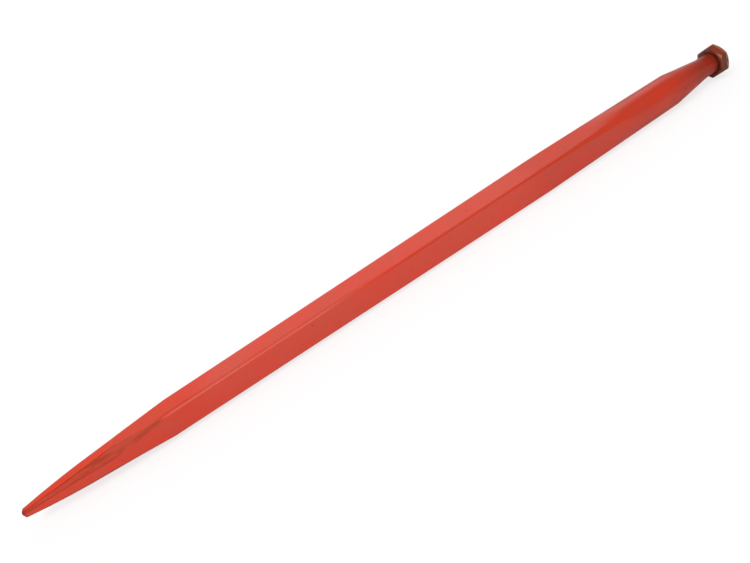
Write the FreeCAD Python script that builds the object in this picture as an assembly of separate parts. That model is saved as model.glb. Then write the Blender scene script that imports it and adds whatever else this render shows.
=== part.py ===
# Bale spear: one forged bar with a four-sided point, a square-to-round rear, a conical seat and a
# threaded stub, and the thin hexagon nut that is run up against its neck.
# Millimetres. Origin on the bar's axis, at the large end of the conical seat.
# +X runs from the point towards the nut, +Z is square to the bar's top flat.
import FreeCAD, Part
import os
from math import cos, radians, sin, sqrt, tan

V = FreeCAD.Vector
X_AXIS = V(1, 0, 0)

# --- Square bar -------------------------------------------------------------------------------
bar_length = 681.0        # shoulder of the point to the large end of the seat
bar_side_rear = 35.0      # across the flats at the seat
bar_side_front = 30.0     # across the flats at the shoulder: the bar is drawn down a little
bar_edge_radius = 3.0     # rolled long edges

# --- Forged point -----------------------------------------------------------------------------
# The bar's four long edges are hammered down to corner flats first, from the shoulder on. The four
# faces are then drawn in from the bar's flats, over a shorter length.
point_length = 178.0      # shoulder to the blunt end: length of the corner flats
faces_length = 113.0      # length over which the four faces are drawn in
point_drop = 0.5          # the point sits this much low
flat_edge_radius = 2.0    # long edges between the corner flats and the faces
end_radius = 1.4          # rim of the blunt end

# Across two opposite faces, and across two opposite corner flats. Each place is a share of the
# point's length from the blunt end.
end_across_faces = 9.2
end_across_corners = 10.2
nose_at = 0.13            # end of the steeper nose
nose_across_faces = 14.2
nose_across_corners = 16.3
waist_at = 0.41
waist_across_faces = 23.0
waist_across_corners = 25.5
heel_at = 0.62            # the corner flats rise straight from here to the shoulder
heel_across_corners = 29.6

# --- Square-to-round rear ---------------------------------------------------------------------
round_length = 195.0      # the corners are drawn round over this length before the seat
round_diameter = 38.9     # where the drawn corners meet the seat

# --- Conical seat, neck and stub --------------------------------------------------------------
seat_length = 47.5
seat_small_diameter = 24.8
neck_length = 14.0        # round neck between the seat and the nut
thread_diameter = 22.0    # M22 x 1.5
thread_pitch = 1.5
stub_proud = 2.5          # the stub stands out of the nut by this much
stub_chamfer = 1.5

# --- Hexagon thin nut -------------------------------------------------------------------------
nut_across_flats = 34.0
nut_height = 11.0
nut_turn = -7.3           # round from the bar's side flats, degrees
nut_chamfer_angle = 30.0  # corner chamfer on both faces
nut_face_share = 0.95     # chamfer circle, as a share of the width across flats
thread_clearance = 0.1    # radial, between the plain stub and the plain bore

# --- Places along the axis --------------------------------------------------------------------
x_shoulder = -bar_length
x_end = x_shoulder - point_length
x_neck = seat_length
x_nut = x_neck + neck_length
x_nut_back = x_nut + nut_height
x_stub_end = x_nut_back + stub_proud
x_round = -round_length

# Pitch diameter of the thread stands in for its ridges and grooves
stub_radius = (thread_diameter - 0.6495 * thread_pitch) / 2
bore_radius = stub_radius + thread_clearance

bar_slope = (bar_side_rear - bar_side_front) / bar_length

# Clear of the bar on every side: the size of what is trimmed away around it
outside = 1.5 * bar_side_rear


def bar_side(x):
    """Width across the flats of the bar at x."""
    return bar_side_rear + bar_slope * x


def bar_corner(x):
    """Distance from the axis to the rolled edge at x."""
    return bar_side(x) / sqrt(2) - bar_edge_radius * (sqrt(2) - 1)


def taper_pair():
    """Two opposite flats of the bar, full length, as a wedge that reaches clear of it sideways."""
    x0, x1 = x_end - 5, x_stub_end + 5
    h0, h1 = bar_side(x0) / 2, bar_side(x1) / 2
    outline = [V(x0, -outside, -h0), V(x1, -outside, -h1), V(x1, -outside, h1),
               V(x0, -outside, h0)]
    face = Part.Face(Part.makePolygon(outline + outline[:1]))
    return face.extrude(V(0, 2 * outside, 0))


def square_bar():
    """The bar over its full length, tapered, with its four long edges rolled round."""
    sides = taper_pair()
    sides.rotate(V(0, 0, 0), X_AXIS, 90)
    bar = taper_pair().common(sides)
    long_edges = [e for e in bar.Edges if abs(e.Vertexes[0].X - e.Vertexes[-1].X) > 1]
    return bar.makeFillet(bar_edge_radius, long_edges)


def closing_pair(half_widths, turn):
    """Two opposite faces that close on the blunt end, turned about the bar's axis."""
    # Past the last place, where they leave the bar, they open on at the same slope
    (at0, half0), (at1, half1) = half_widths[-2:]
    stations = half_widths + [(at1 + 0.2, half1 + 0.2 * (half1 - half0) / (at1 - at0))]
    above = [V(x_end + share * point_length, 0, half) for share, half in stations]
    below = [V(p.x, 0, -p.z) for p in reversed(above)]
    upper, lower = Part.BSplineCurve(), Part.BSplineCurve()
    upper.interpolate(above)
    lower.interpolate(below)
    x_open, x_back = above[-1].x, x_stub_end + 10
    rest = [above[-1], V(x_open, 0, outside), V(x_back, 0, outside),
            V(x_back, 0, -outside), V(x_open, 0, -outside), below[0]]
    outline = [upper.toShape()]
    outline += [Part.makeLine(p, q) for p, q in zip(rest, rest[1:])]
    outline += [lower.toShape(), Part.makeLine(below[-1], above[0])]
    face = Part.Face(Part.Wire(outline))
    face.translate(V(0, -outside, 0))
    pair = face.extrude(V(0, 2 * outside, 0))
    pair.rotate(V(0, 0, 0), X_AXIS, turn)
    return pair


def point_envelope():
    """Four faces and four corner flats closing on the blunt end, their edges eased."""
    faces = [(0.0, end_across_faces / 2), (nose_at, nose_across_faces / 2),
             (waist_at, waist_across_faces / 2),
             (faces_length / point_length, bar_side(x_end + faces_length) / 2)]
    corners = [(0.0, end_across_corners / 2), (nose_at, nose_across_corners / 2),
               (waist_at, waist_across_corners / 2), (heel_at, heel_across_corners / 2),
               (1.0, bar_corner(x_shoulder))]
    point = closing_pair(faces, 0).common(closing_pair(faces, 90))
    point = point.common(closing_pair(corners, 45)).common(closing_pair(corners, 135))

    def on_end(vertex):
        return abs(vertex.X - x_end) < 0.01

    long_edges = [e for e in point.Edges
                  if len(e.Vertexes) == 2 and sum(on_end(v) for v in e.Vertexes) == 1]
    point = point.makeFillet(flat_edge_radius, long_edges)
    rim = [e for e in point.Edges if all(on_end(v) for v in e.Vertexes)]
    point = point.makeFillet(end_radius, rim)
    point.translate(V(0, 0, -point_drop))
    return point


def rear_envelope():
    """Turned form of the rear: corners drawn round, seat, neck and stub."""
    round_start = bar_corner(x_round)
    draw = (round_start - round_diameter / 2) / round_length
    x_clear = 1.6 * x_round
    profile = [
        V(x_end - 10, 0, 0),
        V(x_end - 10, 0, outside),
        V(x_clear, 0, outside),
        V(x_clear, 0, round_start + draw * (x_round - x_clear)),
        V(0, 0, round_diameter / 2),
        V(x_neck, 0, seat_small_diameter / 2),
        V(x_nut, 0, seat_small_diameter / 2),
        V(x_nut, 0, stub_radius),
        V(x_stub_end - stub_chamfer, 0, stub_radius),
        V(x_stub_end, 0, stub_radius - stub_chamfer),
        V(x_stub_end, 0, 0),
    ]
    face = Part.Face(Part.makePolygon(profile + profile[:1]))
    return face.revolve(V(0, 0, 0), X_AXIS, 360)


def spear():
    """The one-piece forging."""
    return square_bar().common(point_envelope()).common(rear_envelope())


def hex_nut():
    """Thin hexagon nut, chamfered on both faces, seated on the end of the neck."""
    corner = nut_across_flats / sqrt(3)
    angles = [radians(60 * i) for i in range(6)]
    points = [V(x_nut, corner * sin(a), corner * cos(a)) for a in angles]
    nut = Part.Face(Part.makePolygon(points + points[:1])).extrude(V(nut_height, 0, 0))

    # Turned blank whose two cones take the sharp corners off
    face_radius = nut_face_share * nut_across_flats / 2
    blank_radius = corner + 1
    cone = (blank_radius - face_radius) * tan(radians(nut_chamfer_angle))
    blank = Part.Face(Part.makePolygon([
        V(x_nut, 0, bore_radius), V(x_nut, 0, face_radius), V(x_nut + cone, 0, blank_radius),
        V(x_nut_back - cone, 0, blank_radius), V(x_nut_back, 0, face_radius),
        V(x_nut_back, 0, bore_radius), V(x_nut, 0, bore_radius)]))
    nut = nut.common(blank.revolve(V(0, 0, 0), X_AXIS, 360))
    nut.rotate(V(0, 0, 0), X_AXIS, nut_turn)
    return nut


def save(shape, node):
    assert shape.isValid() and len(shape.Solids) == 1, node
    solid = shape.Solids[0]
    solid.exportStep("parts/" + node + ".step")
    print(node, round(solid.Volume), "mm3")


os.makedirs("parts", exist_ok=True)
save(spear(), "spear")
save(hex_nut(), "hex_nut")
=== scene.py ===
import math

import bpy
from mathutils import Matrix, Vector


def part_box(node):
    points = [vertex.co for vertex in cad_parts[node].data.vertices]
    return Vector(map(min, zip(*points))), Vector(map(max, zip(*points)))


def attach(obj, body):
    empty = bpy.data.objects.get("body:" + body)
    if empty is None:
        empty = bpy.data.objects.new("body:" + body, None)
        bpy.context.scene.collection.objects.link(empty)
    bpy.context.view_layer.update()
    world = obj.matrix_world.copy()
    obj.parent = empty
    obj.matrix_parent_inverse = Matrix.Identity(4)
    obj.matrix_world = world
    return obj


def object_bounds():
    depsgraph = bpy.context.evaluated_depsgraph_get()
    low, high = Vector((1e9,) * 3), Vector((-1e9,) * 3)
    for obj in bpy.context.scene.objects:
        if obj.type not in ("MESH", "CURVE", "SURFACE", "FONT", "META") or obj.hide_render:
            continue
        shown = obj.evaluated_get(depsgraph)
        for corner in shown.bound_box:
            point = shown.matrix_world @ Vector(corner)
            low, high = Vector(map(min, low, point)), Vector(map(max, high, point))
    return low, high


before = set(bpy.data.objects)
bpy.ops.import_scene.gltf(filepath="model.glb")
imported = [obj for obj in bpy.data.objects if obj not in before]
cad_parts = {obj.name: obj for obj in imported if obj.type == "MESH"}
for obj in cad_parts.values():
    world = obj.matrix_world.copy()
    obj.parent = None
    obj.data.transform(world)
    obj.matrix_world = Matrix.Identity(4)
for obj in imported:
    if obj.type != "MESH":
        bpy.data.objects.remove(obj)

cad_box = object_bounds()

# --- Forged spear -------------------------------------------------------------------------------
# One piece of forged steel: a square bar with a blunt point and corner flats, its rear corners drawn
# round into a turned cone seat. Sprayed red all over and rubbed dull at the point; painted shade darkens
# it towards the rear and in its creases, and a painted highlight runs along the near edge.


class Field:
    """A value or colour that changes over a surface, for sums in plain Python."""

    def __init__(self, tree, socket):
        self.tree, self.socket = tree, socket

    def node(self, kind, settings=(), inputs=(), out=0):
        """Output of a new node: its settings are made first, then its sockets."""
        made = self.tree.nodes.new(kind)
        for name, value in dict(settings).items():
            if name == "stops":
                ramp = made.color_ramp
                while len(ramp.elements) < len(value):
                    ramp.elements.new(0.5)
                for element, (place, colour) in zip(ramp.elements, value):
                    element.position, element.color = place, colour
            else:
                setattr(made, name, value)
        for name, value in dict(inputs).items():
            if isinstance(value, Field):
                self.tree.links.new(value.socket, made.inputs[name])
            else:
                made.inputs[name].default_value = value
        return Field(self.tree, made.outputs[out])

    def maths(self, operation, *values):
        return self.node("ShaderNodeMath", {"operation": operation}, enumerate(values))

    def vector(self, operation, *values, out=0):
        """Vector sum of this and the values."""
        sockets = enumerate((self, *values))
        return self.node("ShaderNodeVectorMath", {"operation": operation}, sockets, out)

    def towards(self, other, share):
        """This vector where share is 0, and the other where it is 1."""
        return self.node("ShaderNodeMix", {"data_type": "VECTOR"}, {0: share, 4: self, 5: other}, out=1)

    def bump(self, strength, depth, **sockets):
        """Normal of a surface whose height is this field."""
        settings = {"Strength": strength, "Distance": depth, "Height": self, **sockets}
        return self.node("ShaderNodeBump", inputs=settings)

    def __add__(self, other): return self.maths("ADD", self, other)
    def __radd__(self, other): return self.maths("ADD", other, self)
    def __sub__(self, other): return self.maths("SUBTRACT", self, other)
    def __rsub__(self, other): return self.maths("SUBTRACT", other, self)
    def __mul__(self, other): return self.maths("MULTIPLY", self, other)
    def __rmul__(self, other): return self.maths("MULTIPLY", other, self)

    def step(self, low, high):
        """0 below low, 1 above high, smooth between."""
        return self.node("ShaderNodeMapRange", {"interpolation_type": "SMOOTHSTEP"},
                         {"Value": self, "From Min": low, "From Max": high})

    def around(self, reach):
        """1 where this is zero, fading to 0 at reach to either side."""
        return 1 - self.maths("ABSOLUTE", self).step(0.25 * reach, reach)

    def ramp(self, stops):
        """A value that runs from stop to stop."""
        greys = [(place, (value, value, value, 1)) for place, value in stops]
        return self.node("ShaderNodeValToRGB", {"stops": greys}, {0: self})

    def mix(self, low, high):
        """The colour low where this is 0 and high where it is 1."""
        return self.node("ShaderNodeMix", {"data_type": "RGBA"}, {0: self, 6: low, 7: high}, out=2)

    def scaled(self, by):
        return self.node("ShaderNodeVectorMath", {"operation": "SCALE"}, {0: self, "Scale": by})

    def parts(self):
        split = self.node("ShaderNodeSeparateXYZ", inputs={0: self}).socket.node
        return [Field(self.tree, part) for part in split.outputs]

    def noise(self, scale, detail):
        return self.node("ShaderNodeTexNoise", inputs={"Vector": self, "Scale": scale, "Detail": detail})


def paint(name):
    """A new surface: its shader, and the place on the piece in metres."""
    material = bpy.data.materials.new(name)
    material.use_nodes = True
    tree = material.node_tree
    shader = tree.nodes["Principled BSDF"]
    place = Field(tree, tree.nodes.new("ShaderNodeTexCoord").outputs["Object"])
    return material, shader, place


def feed(shader, socket, field):
    field.tree.links.new(field.socket, shader.inputs[socket])


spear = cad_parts["spear"]
x_tip, x_stub_end = cad_box[0][0], cad_box[1][0]
point_length = 0.178
x_shoulder = x_tip + point_length
half_diagonal = math.sqrt(0.5)
paint_red = (0.73, 0.048, 0.017, 1)
paint_thin = (0.66, 0.053, 0.021, 1)
# The worn and scraped reds go on the corner flats, also darkened there as painted shade
worn_paint_and_shade = (0.54, 0.066, 0.036, 1)
scraped_paint_and_shade = (0.40, 0.046, 0.020, 1)
# A light tan for the near edge: rubbed paint with a painted highlight
rubbed_tan_and_highlight = (0.74, 0.15, 0.10, 1)

red, shader, place = paint("red forging paint")
tree = place.tree
x, y, z = place.parts()
normal = Field(tree, tree.nodes.new("ShaderNodeTexCoord").outputs["Normal"])
# Along runs from 0 at the tip to 1 at the stub's end; across is 0 on the near edge, positive on top
along = (x - x_tip) * (1 / (x_stub_end - x_tip))
across = y + z
uneven = place.noise(scale=38, detail=4)
grain = place.noise(scale=260, detail=3)

# Brightness of the coat along the bar: painted shade darkens it from the rear quarter to the neck, the
# blunt end of the tip is darker, and the tone varies at random
ragged = along + (uneven - 0.5) * 0.05
tone_and_shade = ragged.ramp([(0.0, 1.0), (0.66, 1.0), (0.715, 0.88), (0.80, 0.85), (0.90, 0.80), (0.935, 0.67),
                    (0.955, 0.55), (0.975, 0.43), (0.985, 0.34)])
tone_and_shade = tone_and_shade * (0.60 + 0.40 * x.step(x_tip + 0.001, x_tip + 0.006))
tone_and_shade = tone_and_shade * (0.93 + uneven * 0.14) * (0.95 + grain * 0.10)

# Corner flats and the creases beside them, in the point only; the creases get painted shade
in_point = 1 - x.step(x_shoulder - 0.004, x_shoulder)
unsigned = normal.vector("ABSOLUTE")
squareness = unsigned.vector("DOT_PRODUCT", (0, half_diagonal, half_diagonal), out=1)
corner_flat = squareness.step(0.93, 0.975) * in_point
crease_shade = squareness.step(0.73, 0.80) * (1 - squareness.step(0.92, 0.97)) * in_point

# The near edge: a light line in front, partly rubbed paint and partly a painted highlight, painted shade
# beside it, and painted shade along it again to the rear
on_near_edge = (z - y).step(0.018, 0.022)
line = (across - 0.0010).around(0.0019) * on_near_edge
rubbed = along.ramp([(0.185, 0.0), (0.20, 0.75), (0.40, 0.75), (0.43, 0.25), (0.50, 0.0)]) * line
shadow_line = (across - 0.0050).around(0.0022) * on_near_edge
shadow_line = shadow_line * along.ramp([(0.17, 0.0), (0.19, 0.9), (0.44, 0.7), (0.50, 0.0)])
edge_shade_line = (across + 0.0003).around(0.0022) * on_near_edge
edge_shade_line = edge_shade_line * along.ramp([(0.46, 0.0), (0.53, 1.0), (0.70, 1.0), (0.76, 0.0)])
specks = place.noise(scale=150, detail=2).step(0.70, 0.76)
streaks = place.vector("MULTIPLY", (0.13, 1, 1)).noise(scale=210, detail=3).step(0.40, 0.62)

colour = uneven.step(0.35, 0.65).mix(paint_red, paint_thin)
# The corner flats take worn, scraped paint that is darkened as painted shade
colour = (corner_flat * 0.9).mix(colour, streaks.mix(worn_paint_and_shade, scraped_paint_and_shade))
# The light line on the near edge: rubbed paint and a painted highlight
colour = rubbed.mix(colour, rubbed_tan_and_highlight)
# Painted shade in the creases and along the near edge, with dark specks
for mark, depth in ((crease_shade, 0.42), (shadow_line, 0.24), (edge_shade_line, 0.14), (specks, 0.22)):
    tone_and_shade = tone_and_shade * (1 - mark * depth)
colour = colour.scaled(tone_and_shade)

# The sheen is rubbed off towards the tip, less on the flanks than on top
sheen = ragged.ramp([(0.0, 0.03), (0.05, 0.06), (0.09, 0.18), (0.13, 0.33), (0.21, 0.50), (0.26, 0.95),
                     (0.68, 0.95), (0.73, 0.74), (0.90, 0.70), (0.93, 0.48), (0.97, 0.40)])
flank = unsigned.parts()[1].step(0.72, 0.95) * (1 - x.step(-0.10, -0.05))
sheen = sheen + (1 - sheen) * flank * 0.45

# Between square and round the surface is shaded as rolling from flat to flat, then into the cone
seat_length, seat_large, seat_small = 0.0475, 0.0389, 0.0248
cone_draw = (seat_large - seat_small) / 2 / seat_length
lean = x.step(-0.022, 0.016) * cone_draw
lean = lean.node("ShaderNodeCombineXYZ", inputs={0: lean})
soft = place.vector("MULTIPLY", (0, 1, 1)).vector("NORMALIZE").vector("ADD", lean)
rolled = x.step(-0.128, -0.040) * (1 - x.step(0.016, 0.030))
normal = normal.towards(soft, rolled).vector("NORMALIZE")
hammered = place.noise(scale=55, detail=2) * 0.7 + grain * 0.3
bumped = hammered.bump(strength=0.22, depth=0.0012, Normal=normal)

# The coat with its full sheen, mixed with the same coat rubbed dull
dull = tree.nodes.new("ShaderNodeBsdfPrincipled")
for coat, shine in ((shader, 0.5), (dull, 0.03)):
    coat.inputs["Specular IOR Level"].default_value = shine
    coat.inputs["Roughness"].default_value = 0.29
    feed(coat, "Base Color", colour)
    feed(coat, "Normal", bumped)
both = tree.nodes.new("ShaderNodeMixShader")
feed(both, 0, sheen)
tree.links.new(dull.outputs[0], both.inputs[1])
tree.links.new(shader.outputs[0], both.inputs[2])
tree.links.new(both.outputs[0], tree.nodes["Material Output"].inputs["Surface"])
spear.data.materials.clear()
spear.data.materials.append(red)

# --- Thread on the stub's end -------------------------------------------------------------------
# A M22 x 1.5 thread on the forging's stub, seen only where it stands proud of the nut. One ridge is
# swept part of a turn round the bar's axis at the thread's own lead, and its ends are closed.
thread_pitch = 0.0015
stub_radius = 0.01048
ridge_radius = 0.00045
x_ridge = 0.07285
ridge_turn = math.radians(200)
bpy.ops.object.select_all(action="DESELECT")
bpy.ops.mesh.primitive_circle_add(vertices=3, radius=ridge_radius, rotation=(math.pi / 2, 0, 0),
                                  location=(x_ridge, 0, stub_radius))
thread = bpy.context.object
thread.name = "stub_thread"
bpy.ops.object.transform_apply(location=True, rotation=True, scale=True)
sweep = thread.modifiers.new("sweep", "SCREW")
sweep.axis = "X"
sweep.angle = ridge_turn
sweep.screw_offset = thread_pitch * ridge_turn / math.tau
sweep.steps = sweep.render_steps = 60
sweep.use_merge_vertices = True
bpy.ops.object.modifier_apply(modifier=sweep.name)
bpy.ops.object.mode_set(mode="EDIT")
bpy.ops.mesh.select_all(action="SELECT")
bpy.ops.mesh.fill_holes(sides=4)
bpy.ops.mesh.select_all(action="SELECT")
bpy.ops.mesh.normals_make_consistent(inside=False)
bpy.ops.object.mode_set(mode="OBJECT")
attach(thread, "root")
thread.data.materials.append(red)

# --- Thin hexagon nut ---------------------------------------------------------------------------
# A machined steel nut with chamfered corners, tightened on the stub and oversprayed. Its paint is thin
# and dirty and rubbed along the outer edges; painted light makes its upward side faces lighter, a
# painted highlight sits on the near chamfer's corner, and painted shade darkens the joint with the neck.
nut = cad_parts["hex_nut"]
x_nut, x_nut_back = (corner[0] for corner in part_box("hex_nut"))
overspray = (0.180, 0.025, 0.009, 1)
dark_brown = (0.085, 0.022, 0.011, 1)
# The lighter red is painted light for the upward side faces
lit_top_paint = (0.26, 0.031, 0.010, 1)
worn_edge = (0.36, 0.17, 0.06, 1)
# The pink is a painted highlight for the near chamfer's corner
chamfer_highlight = (0.50, 0.16, 0.11, 1)
# The near black is painted shade for the joint with the neck
joint_shade_colour = (0.02, 0.008, 0.005, 1)

brown, shader, place = paint("nut overspray")
tree = place.tree
x, y, z = place.parts()
normal = Field(tree, tree.nodes.new("ShaderNodeTexCoord").outputs["Normal"])
nx, _, nz = normal.parts()
endwise = nx.maths("ABSOLUTE", nx)
squared = y * y + z * z
radius = squared.maths("SQRT", squared)
patches = place.noise(scale=170, detail=4)
on_side = 1 - endwise.step(0.2, 0.4)
on_chamfer = (1 - on_side) * (1 - endwise.step(0.93, 0.98))
colour = patches.step(0.38, 0.62).mix(overspray, dark_brown)
# Painted light: side faces turned upwards are made lighter
colour = (on_side * nz.step(0.55, 0.8) * 0.85).mix(colour, lit_top_paint)
# Painted highlight on the near chamfer's corner
colour = (on_chamfer * (z - y).step(0.0225, 0.0255) * 0.8).mix(colour, chamfer_highlight)
rubbed = (x - (x_nut_back - 0.0024)).around(0.0011) * patches.step(0.3, 0.55) * on_side
colour = rubbed.mix(colour, worn_edge)
# A darker band along the back rim
back_rim = x.step(x_nut_back - 0.0013, x_nut_back - 0.0008) * 0.75
colour = back_rim.mix(colour, dark_brown)
# A darker ring at the outer edge of the front face
front_rim = (1 - (x - x_nut).step(0.0, 0.0004)) * radius.step(0.0160, 0.0172) * 0.6
colour = front_rim.mix(colour, dark_brown)
# Painted shade in the joint between the nut and the neck
joint_shade = (1 - radius.step(0.0134, 0.0150)) * 0.85
colour = joint_shade.mix(colour, joint_shade_colour)
feed(shader, "Base Color", colour)
feed(shader, "Normal", patches.bump(strength=0.3, depth=0.0005))
shader.inputs["Roughness"].default_value = 0.42
shader.inputs["Specular IOR Level"].default_value = 0.3
nut.data.materials.clear()
nut.data.materials.append(brown)

# --- Floor, light and camera --------------------------------------------------------------------
# A white floor that glows a little in the camera's view only, a white tent and one broad key light,
# with the camera close to the bar and above it.
scene = bpy.context.scene
floor_z = cad_box[0][2]
bpy.ops.object.select_all(action="DESELECT")
bpy.ops.mesh.primitive_plane_add(size=30, location=(-0.4, 0, floor_z))
floor = bpy.context.object
floor.name = "floor"
pale, shader, place = paint("pale floor")
shader.inputs["Base Color"].default_value = (0.9, 0.9, 0.9, 1)
shader.inputs["Roughness"].default_value = 0.9
tree = place.tree
ray = tree.nodes.new("ShaderNodeLightPath")
glow = tree.nodes.new("ShaderNodeEmission")
mix = tree.nodes.new("ShaderNodeMixShader")
feed(mix, 0, Field(tree, ray.outputs["Is Camera Ray"]) * 0.7)
tree.links.new(shader.outputs[0], mix.inputs[1])
glow.inputs["Strength"].default_value = 1.056
tree.links.new(glow.outputs[0], mix.inputs[2])
tree.links.new(mix.outputs[0], tree.nodes["Material Output"].inputs["Surface"])
floor.data.materials.append(pale)

world = bpy.data.worlds.new("studio")
scene.world = world
world.use_nodes = True
tree = world.node_tree
tent = tree.nodes["Background"]
tent.inputs["Color"].default_value = (1, 1, 1, 1)
ray = tree.nodes.new("ShaderNodeLightPath")
seen = Field(tree, ray.outputs["Is Camera Ray"])
mirrored = Field(tree, ray.outputs["Is Glossy Ray"])
sky = Field(tree, tree.nodes.new("ShaderNodeTexCoord").outputs["Generated"])
# The tent is white at the back and low down in front, and open towards the camera and overhead
tent_opening = (0.05, -0.35, 0.935)
facing = sky.vector("DOT_PRODUCT", tent_opening, out=1)
gloss = 1.0 - 0.9 * facing.step(0.3, 0.7)
level = seen + (1 - seen) * (mirrored * gloss + (1 - mirrored) * 0.6)
feed(tent, "Strength", level)

camera_place = (-0.47091, -0.49555, 0.37922)
camera_data = bpy.data.cameras.new("camera")
camera = bpy.data.objects.new("camera", camera_data)
scene.collection.objects.link(camera)
camera_data.sensor_width = 36
camera_data.lens = 26.88
camera_data.clip_start = 0.01
right = Vector((0.83296342, -0.3903596, -0.39216238))
up = Vector((0.54642092, 0.46866618, 0.69410099))
forward = Vector((0.08715574, 0.79244646, -0.60368243))
turn = Matrix((right, up, -forward)).transposed().to_4x4()
camera.matrix_world = Matrix.Translation(camera_place) @ turn
scene.camera = camera

key_data = bpy.data.lights.new("key", "SUN")
key_data.energy = 1.46
key_data.angle = math.radians(40)
key = bpy.data.objects.new("key", key_data)
scene.collection.objects.link(key)
key.rotation_euler = Vector((-0.45, -0.25, 0.86)).to_track_quat("Z", "Y").to_euler()
key.visible_glossy = False

scene.view_settings.view_transform = "Standard"
